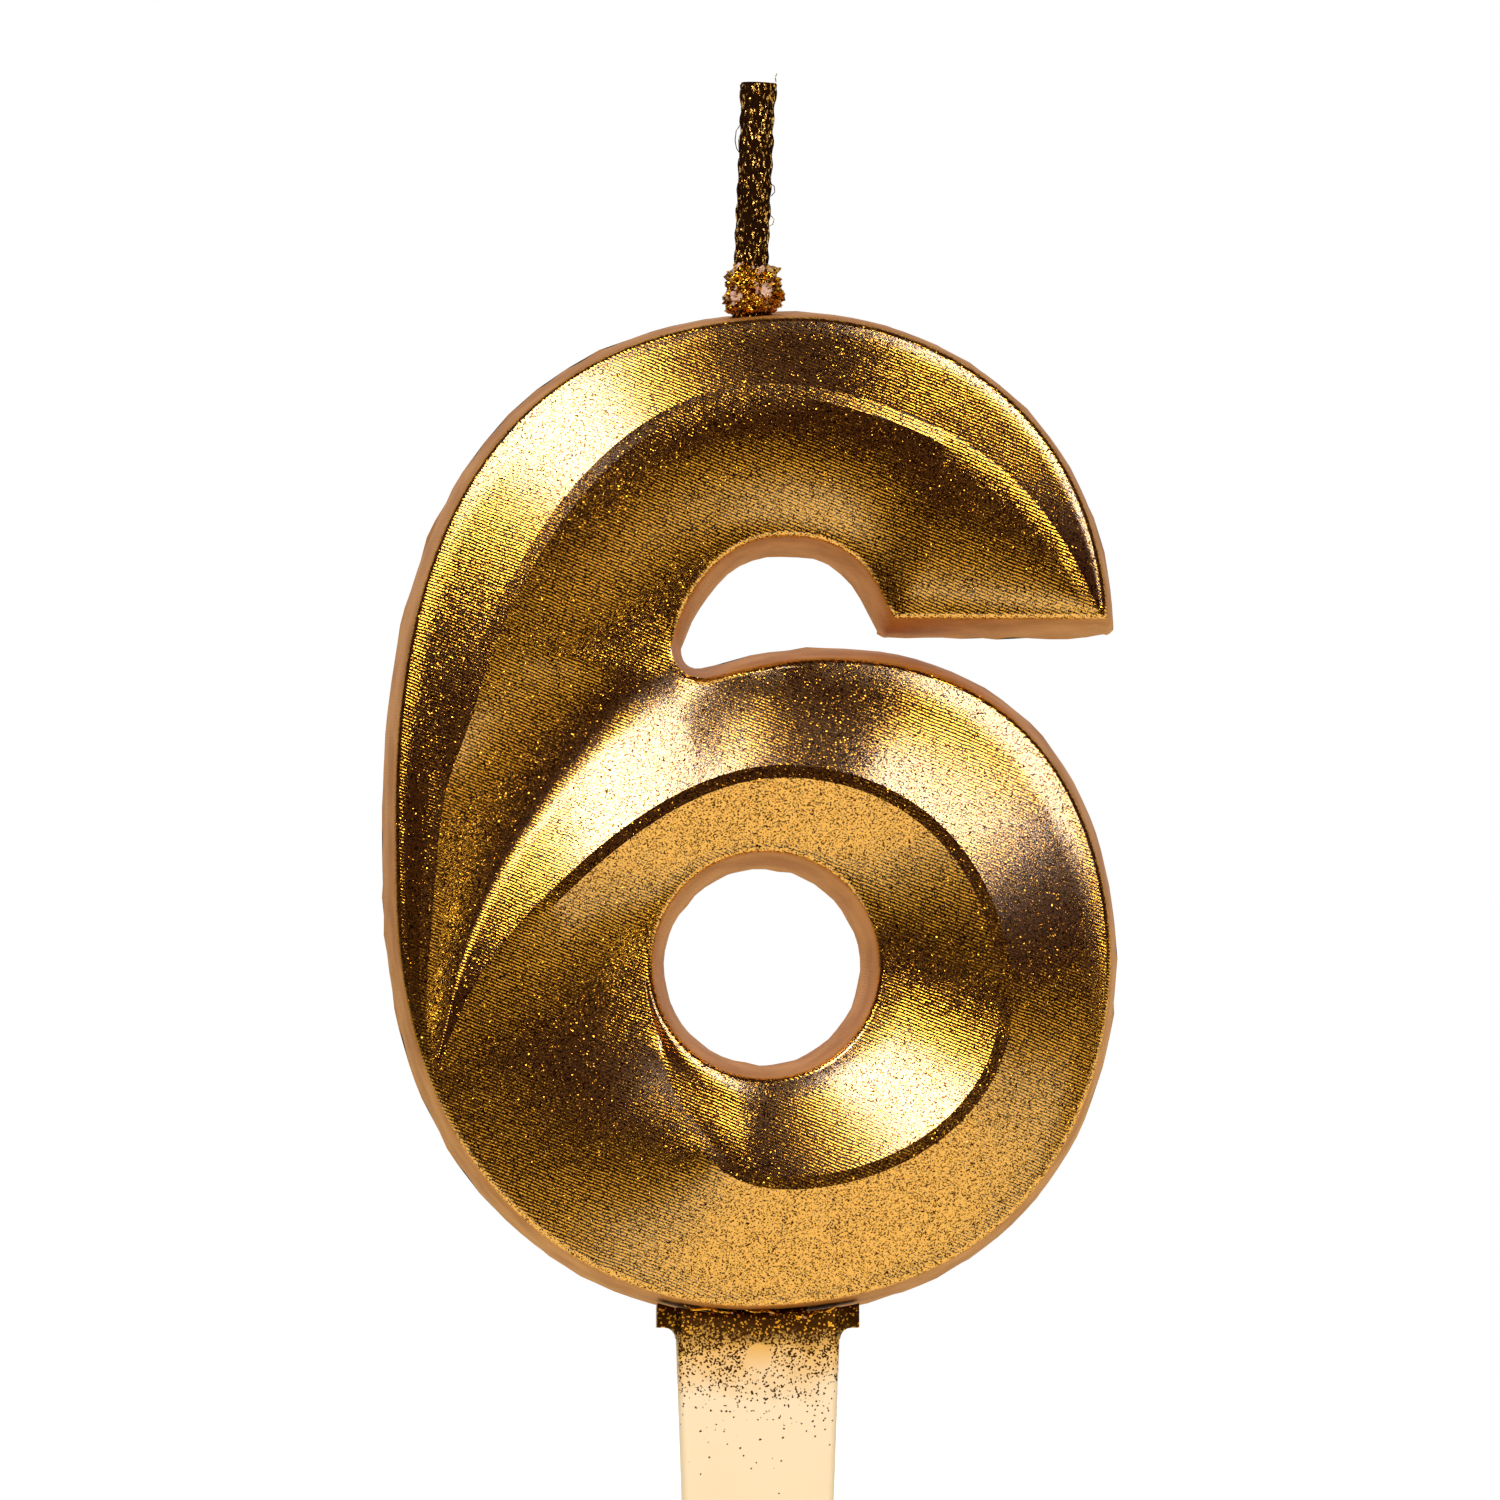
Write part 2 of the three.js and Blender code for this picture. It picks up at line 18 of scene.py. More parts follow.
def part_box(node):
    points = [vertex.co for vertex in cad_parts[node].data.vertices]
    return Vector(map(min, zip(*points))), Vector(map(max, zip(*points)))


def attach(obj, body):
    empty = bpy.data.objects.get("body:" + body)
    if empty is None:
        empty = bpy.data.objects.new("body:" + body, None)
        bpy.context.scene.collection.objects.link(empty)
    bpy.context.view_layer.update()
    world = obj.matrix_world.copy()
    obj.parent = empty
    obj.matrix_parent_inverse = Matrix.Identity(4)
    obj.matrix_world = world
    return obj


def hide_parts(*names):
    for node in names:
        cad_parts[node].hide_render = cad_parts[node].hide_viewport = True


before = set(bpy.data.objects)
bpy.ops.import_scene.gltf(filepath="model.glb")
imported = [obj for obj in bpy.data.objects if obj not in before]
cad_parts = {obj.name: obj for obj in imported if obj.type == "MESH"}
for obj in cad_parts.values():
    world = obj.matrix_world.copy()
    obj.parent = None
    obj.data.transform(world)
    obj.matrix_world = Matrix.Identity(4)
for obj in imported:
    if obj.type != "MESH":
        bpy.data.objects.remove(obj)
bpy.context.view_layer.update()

MM = 0.001

# %% [markdown]
# ## The camera
# A long lens from about a metre away keeps the numeral's walls nearly edge-on, as product
# photographs do. The camera stands two degrees to the left of the middle and a little below it, so a
# strip of wall shows on the left and under the arch. It could be placed by eye, but it is set by
# its target, its distance and its two angles, so that each can be changed alone.

# %% Place the camera
LOOK_AT = Vector((-0.53, 0, 40.6)) * MM
DISTANCE = 1070 * MM
FRAME_SIDE = 105.5 * MM
DEGREES_LEFT = 2.1
DEGREES_BELOW = 2.0
NEAREST_SEEN, FARTHEST_SEEN = 0.01, 20


def look_direction(left, below):
    left, below = math.radians(left), math.radians(below)
    return Vector((math.sin(left) * math.cos(below), math.cos(left) * math.cos(below), math.sin(below)))


def aimed(location, target):
    return Matrix.Translation(location) @ (target - location).to_track_quat("-Z", "Y").to_matrix().to_4x4()


camera = bpy.data.objects.new("photo_camera", bpy.data.cameras.new("photo_camera"))
bpy.context.scene.collection.objects.link(camera)
camera.matrix_world = aimed(LOOK_AT - look_direction(DEGREES_LEFT, DEGREES_BELOW) * DISTANCE, LOOK_AT)
camera.data.sensor_fit = "HORIZONTAL"
camera.data.angle = 2 * math.atan(FRAME_SIDE / 2 / DISTANCE)
camera.data.clip_start = NEAREST_SEEN
camera.data.clip_end = FARTHEST_SEEN
bpy.context.scene.camera = camera
bpy.context.scene.view_settings.view_transform = "Standard"
print("camera at", tuple(round(v, 3) for v in camera.location))

# %% [markdown]
# ## Floor
# Metal paint shows what stands round it, so the room matters as much as the lamps. The floor is a
# pale card under the pick's point, and it ends a fifth of a metre in front, where the dark of the
# studio begins. A plain card would mirror as pools of light and dark under the lamps, so each kind of
# ray gets its own view of it. The camera sees it nearly white. A mirrored ray sees an even, warm glow
# that fades out at a slant on the left, and the facets that face down show that glow.

# %% Helpers for nodes
def node_material(name):
    material = bpy.data.materials.new(name)
    material.use_nodes = True
    tree = material.node_tree
    return material, tree, tree.nodes["Principled BSDF"]


def math_node(tree, operation, first, second=None, third=None):
    node = tree.nodes.new("ShaderNodeMath")
    node.operation = operation
    for socket, value in zip(node.inputs, (first, second, third)):
        if isinstance(value, (int, float)):
            socket.default_value = value
        elif value is not None:
            tree.links.new(value, socket)
    return node.outputs[0]


def mapped(tree, value, low, high, to_low=0.0, to_high=1.0):
    node = tree.nodes.new("ShaderNodeMapRange")
    tree.links.new(value, node.inputs["Value"])
    node.inputs["From Min"].default_value = low
    node.inputs["From Max"].default_value = high
    node.inputs["To Min"].default_value = to_low
    node.inputs["To Max"].default_value = to_high
    return node.outputs["Result"]


def seen_by(tree, ray, special, usual):
    path = tree.nodes.new("ShaderNodeLightPath")
    choice = tree.nodes.new("ShaderNodeMixShader")
    tree.links.new(path.outputs[ray], choice.inputs["Fac"])
    tree.links.new(usual.outputs[0], choice.inputs[1])
    tree.links.new(special.outputs[0], choice.inputs[2])
    return choice


# %% Make the pale card
CARD_GREY = (0.8, 0.8, 0.8, 1)
CARD_ROUGHNESS = 0.9
WHITE = (1, 1, 1, 1)
CAMERA_GLOW = 0.85
WARM_WHITE = (1, 0.97, 0.68, 1)
DIM_GLOW, FULL_GLOW = 0.06, 1.0
DIM_UP_TO, FULL_FROM = -0.18, -0.12
SLANT = 0.5


def glow(tree, colour, strength=1.0):
    node = tree.nodes.new("ShaderNodeEmission")
    node.inputs["Color"].default_value = colour
    node.inputs["Strength"].default_value = strength
    return node


def mirrored_glow(tree):
    parts = tree.nodes.new("ShaderNodeSeparateXYZ")
    tree.links.new(tree.nodes.new("ShaderNodeTexCoord").outputs["Object"], parts.inputs["Vector"])
    slanted = math_node(tree, "MULTIPLY_ADD", parts.outputs["Y"], SLANT, parts.outputs["X"])
    node = glow(tree, WARM_WHITE)
    level = mapped(tree, slanted, DIM_UP_TO, FULL_FROM, DIM_GLOW, FULL_GLOW)
    tree.links.new(level, node.inputs["Strength"])
    return node


def pale_card():
    material, tree, card = node_material("pale_card")
    card.inputs["Base Color"].default_value = CARD_GREY
    card.inputs["Roughness"].default_value = CARD_ROUGHNESS
    bright = tree.nodes.new("ShaderNodeAddShader")
    tree.links.new(card.outputs["BSDF"], bright.inputs[0])
    tree.links.new(glow(tree, WHITE, CAMERA_GLOW).outputs["Emission"], bright.inputs[1])
    surface = seen_by(tree, "Is Camera Ray", bright, card)
    surface = seen_by(tree, "Is Glossy Ray", mirrored_glow(tree), surface)
    tree.links.new(surface.outputs["Shader"], tree.nodes["Material Output"].inputs["Surface"])
    return material


# %% Lay the floor
FLOOR_LEVEL = -42.2 * MM


def lay_floor(front, behind, half_width):
    bm = bmesh.new()
    bmesh.ops.create_grid(bm, x_segments=1, y_segments=1, size=0.5)
    bmesh.ops.scale(bm, vec=(2 * half_width, behind - front, 1), verts=bm.verts)
    bmesh.ops.translate(bm, vec=(0, (front + behind) / 2, FLOOR_LEVEL), verts=bm.verts)
    mesh = bpy.data.meshes.new("floor")
    bm.to_mesh(mesh)
    bm.free()
    mesh.materials.append(pale_card())
    floor = bpy.data.objects.new("floor", mesh)
    bpy.context.scene.collection.objects.link(floor)
    return floor


floor = lay_floor(front=-0.19, behind=6.0, half_width=3.0)
print("floor", [round(v, 2) for v in floor.dimensions], "m at", FLOOR_LEVEL)

# %% [markdown]
# ## The studio
# The camera sees a white background, and matt wax and plastic get an even, soft light from it. Only
# a mirrored ray sees the room, which is a dark warm brown in front and at the sides and pale
# behind. The front's facets then stay deep in tone between the lamps. Walls and screens could be
# built for this, but a ramp from front to back has no edges that could show in the paint.

# %% Surround the candle with a studio
FRONT_TINT = (1, 0.4, 0.2)
SIDE_TINT = (1, 0.5, 0.3)
BACK_TINT = (1, 1, 1)
FRONT_STOP, SIDE_STOP, BACK_STOP = 0.28, 0.5, 0.85


def tinted(level, tint):
    return (*(level * part for part in tint), 1)


def background(tree, strength=1.0):
    node = tree.nodes.new("ShaderNodeBackground")
    node.inputs["Color"].default_value = WHITE
    node.inputs["Strength"].default_value = strength
    return node


def room_colour(tree, front_level, side_level, back_level):
    ramp = tree.nodes.new("ShaderNodeValToRGB")
    stops = ramp.color_ramp.elements
    stops[0].position, stops[0].color = FRONT_STOP, tinted(front_level, FRONT_TINT)
    stops[1].position, stops[1].color = BACK_STOP, tinted(back_level, BACK_TINT)
    stops.new(SIDE_STOP).color = tinted(side_level, SIDE_TINT)
    parts = tree.nodes.new("ShaderNodeSeparateXYZ")
    tree.links.new(tree.nodes.new("ShaderNodeTexCoord").outputs["Generated"], parts.inputs["Vector"])
    tree.links.new(mapped(tree, parts.outputs["Y"], -1, 1), ramp.inputs["Fac"])
    return ramp.outputs["Color"]


def studio_world(front_level, side_level, back_level, soft_level):
    world = bpy.data.worlds.new("studio")
    world.use_nodes = True
    tree = world.node_tree
    tree.nodes.clear()
    room = background(tree)
    tree.links.new(room_colour(tree, front_level, side_level, back_level), room.inputs["Color"])
    seen = seen_by(tree, "Is Diffuse Ray", background(tree, soft_level), room)
    seen = seen_by(tree, "Is Camera Ray", background(tree), seen)
    out = tree.nodes.new("ShaderNodeOutputWorld")
    tree.links.new(seen.outputs["Shader"], out.inputs["Surface"])
    bpy.context.scene.world = world
    return world


world = studio_world(front_level=0.035, side_level=0.06, back_level=0.9, soft_level=0.52)
print("world:", world.name)

# %% [markdown]
# ## Two softboxes
# Each run of bright facets in a metal finish is the mirror image of one lamp. A large box hangs high on
# the left and lights the facets that face up and left. A narrower one, lower and more to the front,
# does the same on the right. The gap between them leaves the dark bands at the top of the crown
# and of the bowl. Both are rolled on their stands, which slants the ends of the bright runs. They are
# area lamps: their power is their brightness times pi times their area.

# %% Hang the softboxes
LAMP_DISTANCE = 0.6


def softbox(name, toward, roll, width, height, brightness):
    lamp = bpy.data.lights.new(name, "AREA")
    lamp.shape = "RECTANGLE"
    lamp.size, lamp.size_y = width, height
    lamp.energy = brightness * math.pi * width * height
    box = bpy.data.objects.new(name, lamp)
    bpy.context.scene.collection.objects.link(box)
    box.matrix_world = aimed(LOOK_AT + Vector(toward).normalized() * LAMP_DISTANCE, LOOK_AT)
    box.matrix_world @= Matrix.Rotation(math.radians(roll), 4, "Z")
    box.visible_camera = False
    print(name, "power", round(lamp.energy, 2), "W")


softbox("softbox_left", toward=(-0.40, -0.75, 0.53), roll=-53,
        width=0.29, height=0.19, brightness=8.5)
softbox("softbox_right", toward=(0.405, -0.83, 0.385), roll=43,
        width=0.11, height=0.31, brightness=8.0)

# %% [markdown]
# ## Glitter paint as node groups
# Glitter paint is a lacquer full of tiny mirror flakes, each lying at its own slight angle. One
# group makes the flakes: cells less than a tenth of a millimetre wide, each with its own tilt of the
# normal. Most lie nearly flat and a few stand up steeply, which flash or go dark against their
# neighbours. A bump map could only make dents of that size, while a tilt per cell makes each flake a
# flat mirror.
#
# The tilts follow the curve that a rough metal's roughness stands for: the root of the odds that
# belong to a random number, times a slope. The random numbers stop a little short of one, because
# the last of them would stand on end.

# %% Node group: flakes
MIDDLE_GREY = (0.5, 0.5, 0.5)
LAST_CHANCE = 0.985
STRAY_SLOPE = 0.5


def new_group(name, inputs, outputs):
    group = bpy.data.node_groups.new(name, "ShaderNodeTree")
    for label, kind, value in inputs:
        socket = group.interface.new_socket(label, in_out="INPUT", socket_type=kind)
        if value is not None:
            socket.default_value = value
    for label, kind in outputs:
        group.interface.new_socket(label, in_out="OUTPUT", socket_type=kind)
    return group, group.nodes.new("NodeGroupInput"), group.nodes.new("NodeGroupOutput")


def vector_node(tree, operation, first, second=None, scale=None):
    node = tree.nodes.new("ShaderNodeVectorMath")
    node.operation = operation
    for socket, value in zip(node.inputs, (first, second)):
        if isinstance(value, tuple):
            socket.default_value = value
        elif value is not None:
            tree.links.new(value, socket)
    if scale is not None:
        tree.links.new(scale, node.inputs["Scale"])
    return node.outputs[0]


FLAKES, given, made = new_group(
    "glitter_flakes",
    [("Position", "NodeSocketVector", None), ("Normal", "NodeSocketVector", None),
     ("Flakes per metre", "NodeSocketFloat", 12500), ("Slope", "NodeSocketFloat", 0.025),
     ("Stray", "NodeSocketFloat", 0.07)],
    [("Normal", "NodeSocketVector"), ("Chance", "NodeSocketFloat")],
)
cells = FLAKES.nodes.new("ShaderNodeTexVoronoi")
FLAKES.links.new(given.outputs["Position"], cells.inputs["Vector"])
FLAKES.links.new(given.outputs["Flakes per metre"], cells.inputs["Scale"])
way = vector_node(FLAKES, "NORMALIZE", vector_node(FLAKES, "SUBTRACT", cells.outputs["Color"], MIDDLE_GREY))
chance = FLAKES.nodes.new("ShaderNodeTexWhiteNoise")
FLAKES.links.new(cells.outputs["Position"], chance.inputs["Vector"])
share = math_node(FLAKES, "MULTIPLY", chance.outputs["Value"], LAST_CHANCE)
odds = math_node(FLAKES, "DIVIDE", share, math_node(FLAKES, "SUBTRACT", 1.0, share))
flat = math_node(FLAKES, "MULTIPLY", math_node(FLAKES, "SQRT", odds), given.outputs["Slope"])
tone = FLAKES.nodes.new("ShaderNodeSeparateColor")
FLAKES.links.new(cells.outputs["Color"], tone.inputs["Color"])
on_end = math_node(FLAKES, "LESS_THAN", tone.outputs["Green"], given.outputs["Stray"])
stray = math_node(FLAKES, "MULTIPLY", on_end, chance.outputs["Value"])
slope = math_node(FLAKES, "MULTIPLY_ADD", stray, STRAY_SLOPE, flat)
tilted = vector_node(FLAKES, "ADD", given.outputs["Normal"], vector_node(FLAKES, "SCALE", way, scale=slope))
FLAKES.links.new(vector_node(FLAKES, "NORMALIZE", tilted), made.inputs["Normal"])
FLAKES.links.new(tone.outputs["Red"], made.inputs["Chance"])
print("group", FLAKES.name, "with", len(FLAKES.nodes), "nodes")

# %% [markdown]
# The mould was milled, and the cutter's parallel passes, a fifth of a millimetre apart, are still in
# the wax as fine lines that run down to the right. They are a height for a bump map, drawn from one
# slanted coordinate, a little uneven so that they don't look printed.

# %% Node group: milled lines
ACROSS_THE_LINES = (0.375, 0.0, 0.927)
SWAYS_PER_METRE = 400
SWAY = 0.0003

LINES, given, made = new_group(
    "milled_lines",
    [("Position", "NodeSocketVector", None), ("Lines per metre", "NodeSocketFloat", 4600)],
    [("Height", "NodeSocketFloat")],
)
across = vector_node(LINES, "DOT_PRODUCT", given.outputs["Position"], ACROSS_THE_LINES)
sway = LINES.nodes.new("ShaderNodeTexNoise")
sway.inputs["Scale"].default_value = SWAYS_PER_METRE
LINES.links.new(given.outputs["Position"], sway.inputs["Vector"])
swayed = math_node(LINES, "MULTIPLY_ADD", sway.outputs["Fac"], SWAY, across.node.outputs["Value"])
turns = math_node(LINES, "MULTIPLY", swayed, given.outputs["Lines per metre"])
wave = math_node(LINES, "SINE", math_node(LINES, "MULTIPLY", turns, 2 * math.pi))
LINES.links.new(math_node(LINES, "MULTIPLY_ADD", wave, 0.5, 0.5), made.inputs["Height"])
print("group", LINES.name, "with", len(LINES.nodes), "nodes")

# %% [markdown]
# ## The numeral's finish
# The front took the spray full on and is covered with flakes, with narrow dark gaps between them.
# The clear lacquer lies on the flakes alone: over the gaps it would only grey them. The walls stand
# edge-on to the spray gun and got a mere dusting, so the pinkish wax shows through and they
# look matt. The flat back, which lay upwards in the mould, is duller, and the spray is thin there in
# cloudy patches. Masks could be painted for all this, but the surface's own normal tells the front,
# the walls and the back apart.

# %% Helpers for finishes
def group_node(tree, group, **values):
    node = tree.nodes.new("ShaderNodeGroup")
    node.node_tree = group
    for label, value in values.items():
        socket = node.inputs[label.replace("_", " ")]
        if isinstance(value, (int, float)):
            socket.default_value = value
        else:
            tree.links.new(value, socket)
    return node


def mix_colour(tree, factor, first, second):
    node = tree.nodes.new("ShaderNodeMix")
    node.data_type = "RGBA"
    tree.links.new(factor, node.inputs[0])
    for socket, value in ((node.inputs[6], first), (node.inputs[7], second)):
        if isinstance(value, tuple):
            socket.default_value = (*value, 1)
        else:
            tree.links.new(value, socket)
    return node.outputs[2]


def clouds(tree, position, scale, detail=3.0):
    node = tree.nodes.new("ShaderNodeTexNoise")
    node.inputs["Scale"].default_value = scale
    node.inputs["Detail"].default_value = detail
    tree.links.new(position, node.inputs["Vector"])
    return node.outputs["Fac"]


# %% The marks that the mould left
PITS_PER_METRE = 9000
PITS_TO_LINES = 0.6
RELIEF = 0.010 * MM


def moulded_normal(tree, position):
    lines = group_node(tree, LINES, Position=position)
    pits = clouds(tree, position, PITS_PER_METRE, detail=1.0)
    bump = tree.nodes.new("ShaderNodeBump")
    bump.inputs["Distance"].default_value = RELIEF
    relief = math_node(tree, "MULTIPLY_ADD", pits, PITS_TO_LINES, lines.outputs["Height"])
    tree.links.new(relief, bump.inputs["Height"])
    return bump.outputs["Normal"]


# %% Material: gold glitter over wax
FLAKE_GOLD = (1.0, 0.462, 0.034)
BETWEEN_FLAKES = (0.05, 0.013, 0.002)
DUSTED_WAX, SPRAYED_WAX = (0.70, 0.31, 0.075), (0.52, 0.19, 0.022)
FLAKE_CHANCE = (0.14, 0.44)
WALL_FACES, BACK_FACES = (0.75, 0.45), (0.8, 0.95)
BLOTCHES_PER_METRE, BLOTCHES = 260, (0.35, 0.65)
PATCHES_PER_METRE, PATCHES, PATCH_SPAN = 110, (0.4, 0.62), (0.1, 0.8)
DUSTED_METALLIC = 0.5
BACK_MATTNESS = 0.6
FLAKE_ROUGHNESS, MATT_ROUGHNESS = 0.16, 0.6
LACQUER_IOR, LACQUER_ROUGHNESS = 2.1, 0.2


def numeral_colour(tree, position, flakes, bare, behind):
    blotch = mapped(tree, clouds(tree, position, BLOTCHES_PER_METRE), *BLOTCHES)
    wall = mix_colour(tree, blotch, DUSTED_WAX, SPRAYED_WAX)
    covered = mapped(tree, flakes.outputs["Chance"], *FLAKE_CHANCE)
    gold = mix_colour(tree, covered, BETWEEN_FLAKES, FLAKE_GOLD)
    thin = mapped(tree, clouds(tree, position, PATCHES_PER_METRE, detail=5.0), *PATCHES, *PATCH_SPAN)
    gold = mix_colour(tree, math_node(tree, "MULTIPLY", behind, thin), gold, wall)
    return mix_colour(tree, bare, gold, wall), covered


def gold_over_wax():
    material, tree, paint = node_material("gold_glitter_over_wax")
    place = tree.nodes.new("ShaderNodeTexCoord")
    position = place.outputs["Object"]
    flakes = group_node(tree, FLAKES, Position=position, Normal=moulded_normal(tree, position))
    facing = tree.nodes.new("ShaderNodeSeparateXYZ")
    tree.links.new(place.outputs["Normal"], facing.inputs["Vector"])
    bare = mapped(tree, math_node(tree, "ABSOLUTE", facing.outputs["Y"]), *WALL_FACES)
    behind = mapped(tree, facing.outputs["Y"], *BACK_FACES)
    colour, covered = numeral_colour(tree, position, flakes, bare, behind)
    matt = math_node(tree, "MAXIMUM", bare, math_node(tree, "MULTIPLY", behind, BACK_MATTNESS))
    lacquer = math_node(tree, "MULTIPLY", math_node(tree, "SUBTRACT", 1.0, bare), covered)
    tree.links.new(colour, paint.inputs["Base Color"])
    tree.links.new(flakes.outputs["Normal"], paint.inputs["Normal"])
    tree.links.new(mapped(tree, bare, 0, 1, 1.0, DUSTED_METALLIC), paint.inputs["Metallic"])
    tree.links.new(mapped(tree, matt, 0, 1, FLAKE_ROUGHNESS, MATT_ROUGHNESS), paint.inputs["Roughness"])
    tree.links.new(lacquer, paint.inputs["Coat Weight"])
    paint.inputs["Coat IOR"].default_value = LACQUER_IOR
    paint.inputs["Coat Roughness"].default_value = LACQUER_ROUGHNESS
    return material


GOLD_WAX = gold_over_wax()
print("material", GOLD_WAX.name, "with", len(GOLD_WAX.node_tree.nodes), "nodes")

# %% [markdown]
# ## The numeral
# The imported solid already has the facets, the eye and the walls. Its copy is merged into one
# skin and refined. Modelling the numeral again from curves would only bring in differences.
#
# Every piece ends in the same way: smooth faces, edges that are sharp above an angle, its
# material, and its place on the candle's one body.

# %% Helpers for pieces
SAME_PLACE = 0.001 * MM


def merged_copy(node_name):
    bm = bmesh.new()
    bm.from_mesh(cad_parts[node_name].data)
    bmesh.ops.remove_doubles(bm, verts=bm.verts, dist=SAME_PLACE)
    return bm


def finished(name, bm, material, node_name=None, sharp=40):
    bmesh.ops.recalc_face_normals(bm, faces=bm.faces)
    for face in bm.faces:
        face.smooth = True
    for edge in bm.edges:
        edge.smooth = edge.smooth and edge.calc_face_angle(0) < math.radians(sharp)
    mesh = bpy.data.meshes.new(name)
    bm.to_mesh(mesh)
    bm.free()
    mesh.materials.append(material)
    piece = bpy.data.objects.new(name, mesh)
    bpy.context.scene.collection.objects.link(piece)
    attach(piece, "root")
    if node_name:
        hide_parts(node_name)
    print(name, len(mesh.polygons), "faces,", [round(v / MM, 1) for v in piece.dimensions], "mm")


# %% [markdown]
# The ridges between the facets are marked sharp, so that the light breaks on them. The outer facet
# swells a little over the top of the bowl, which turns its light towards the notch and to the right.
# A new facet could be cut for that, but a push that fades out on all sides keeps its edges.

# %% Find the ridges and swell the bowl's top
FRONT_PLANE, BACK_PLANE = -3.75 * MM, 3.75 * MM
ON_FACETS = FRONT_PLANE - 0.02 * MM
RIDGE_ANGLE = math.radians(12)
EYE_TOP, BOWL_TOP = 34.0 * MM, 46.6 * MM
SWELL_X, SWELL_REACH = 6.5 * MM, 8.5 * MM


def ridge_edges(bm, angle=RIDGE_ANGLE):
    on_front = [e for e in bm.edges if max(v.co.y for v in e.verts) < ON_FACETS]
    return [e for e in on_front if len(e.link_faces) == 2 and e.calc_face_angle(0) > angle]


def swell_bowl_top(bm, rise):
    swollen = 0
    for vert in bm.verts:
        share = (vert.co.z - EYE_TOP) / (BOWL_TOP - EYE_TOP)
        if vert.co.y > ON_FACETS or not 0 < share < 1:
            continue
        along = math.exp(-((vert.co.x - SWELL_X) / SWELL_REACH) ** 2)
        vert.co.y -= rise * along * math.sin(math.pi * share)
        swollen += 1
    return swollen


# %% [markdown]
# Beside the notch many narrow facets of the solid meet, and each would flash on its own, where
# the real surface is one calm sweep. So the faces between two crests are gathered into a patch, and
# each point near the notch moves towards a plane through its neighbours in that patch, the less
# the farther it lies from the notch. A smoothing modifier would also pull the crests down, and these
# have to stay.

# %% Calm the facets beside the notch
NOTCH = Vector((-6.2, 0, 45.0)) * MM
CREST_ANGLE = math.radians(19)
FRONT_DEPTH = 0.5 * MM
LEAST_FRONTAL = -0.3
BLURS_BEYOND = 2.5


def front_patches(bm):
    ridges, patch_of = set(ridge_edges(bm, CREST_ANGLE)), {}
    foremost = [f for f in bm.faces if f.calc_center_median().y < FRONT_PLANE + FRONT_DEPTH]
    front = dict.fromkeys(f for f in foremost if f.normal.y < LEAST_FRONTAL)
    for seed in front:
        stack = [] if seed in patch_of else [seed]
        while stack:
            face = stack.pop()
            patch_of[face] = seed
            nearby = [f for e in face.edges if e not in ridges for f in e.link_faces]
            stack += [f for f in nearby if f in front and f not in patch_of]
    return patch_of


def from_notch(vert):
    return math.hypot(vert.co.x - NOTCH.x, vert.co.z - NOTCH.z)


def plane_through(points, weights, at):
    rows, right = Matrix(((0,) * 3,) * 3), Vector((0, 0, 0))
    for point, weight in zip(points, weights):
        term = Vector((1, (point.x - at.x) / MM, (point.z - at.z) / MM))
        for i in range(3):
            rows[i] = rows[i] + term * (term[i] * weight)
        right += term * (weight * point.y)
    return (rows.inverted_safe() @ right)[0]


def calm_notch(bm, reach, blur):
    bm.normal_update()
    members, moved = {}, {}
    for face, patch in front_patches(bm).items():
        members.setdefault(patch, {}).update(dict.fromkeys(face.verts))
    crests = {v for e in ridge_edges(bm, CREST_ANGLE) for v in e.verts}
    for verts in members.values():
        near = [v for v in verts if from_notch(v) < reach + BLURS_BEYOND * blur]
        points = [v.co for v in near]
        for vert in near:
            away, at = from_notch(vert) / reach, vert.co
            if vert in crests or away >= 1:
                continue
            weights = [math.exp(-((p.x - at.x) ** 2 + (p.z - at.z) ** 2) / blur ** 2) for p in points]
            level = plane_through(points, weights, at)
            moved[vert] = at.y + (level - at.y) * (1 - away ** 2) ** 0.5
    for vert, level in moved.items():
        vert.co.y = level
    bm.normal_update()
    return len(moved)


# %% [markdown]
# The back rim becomes ragged, because wax that creeps over the edge of an open mould sets as
# a thin uneven lip. Two cuts near the back give it its own narrow strip of wall, and noise pushes the
# rim's points out and in. A displaced texture would make the whole wall wavy.

# %% Fray the back rim and finish the numeral
LIP_CUTS = (2.9 * MM, 3.4 * MM)
RIM_ANGLE = math.radians(60)
COARSE_SHARE, COARSE_WAVES, FINE_WAVES = 0.4, 700, 3100
DEEPEST_DENT = -0.5
WALLS_BELOW = 0.5


def ragged_back(bm, reach):
    for level in LIP_CUTS:
        bmesh.ops.bisect_plane(bm, geom=bm.verts[:] + bm.edges[:] + bm.faces[:],
                               plane_co=(0, level, 0), plane_no=(0, 1, 0))
    on_back = [e for e in bm.edges if all(abs(v.co.y - BACK_PLANE) < SAME_PLACE for v in e.verts)]
    rim = [e for e in on_back if e.calc_face_angle(0) > RIM_ANGLE]
    for vert in {v for e in rim for v in e.verts}:
        out = sum((f.normal for f in vert.link_faces if abs(f.normal.y) < WALLS_BELOW), Vector())
        out.y = 0
        coarse, fine = noise.noise(vert.co * COARSE_WAVES), noise.noise(vert.co * FINE_WAVES)
        vert.co += out.normalized() * reach * max(DEEPEST_DENT, COARSE_SHARE * coarse + fine)
    return len(rim)


body = merged_copy("wax_body")
print("calmed", calm_notch(body, reach=5.6 * MM, blur=1.8 * MM), "points by the notch")
print("swollen by", swell_bowl_top(body, rise=0.55 * MM), "points")
print("ragged rim of", ragged_back(body, reach=0.2 * MM), "edges")
for edge in ridge_edges(body):
    edge.smooth = False
finished("numeral", body, GOLD_WAX, "wax_body", sharp=35)

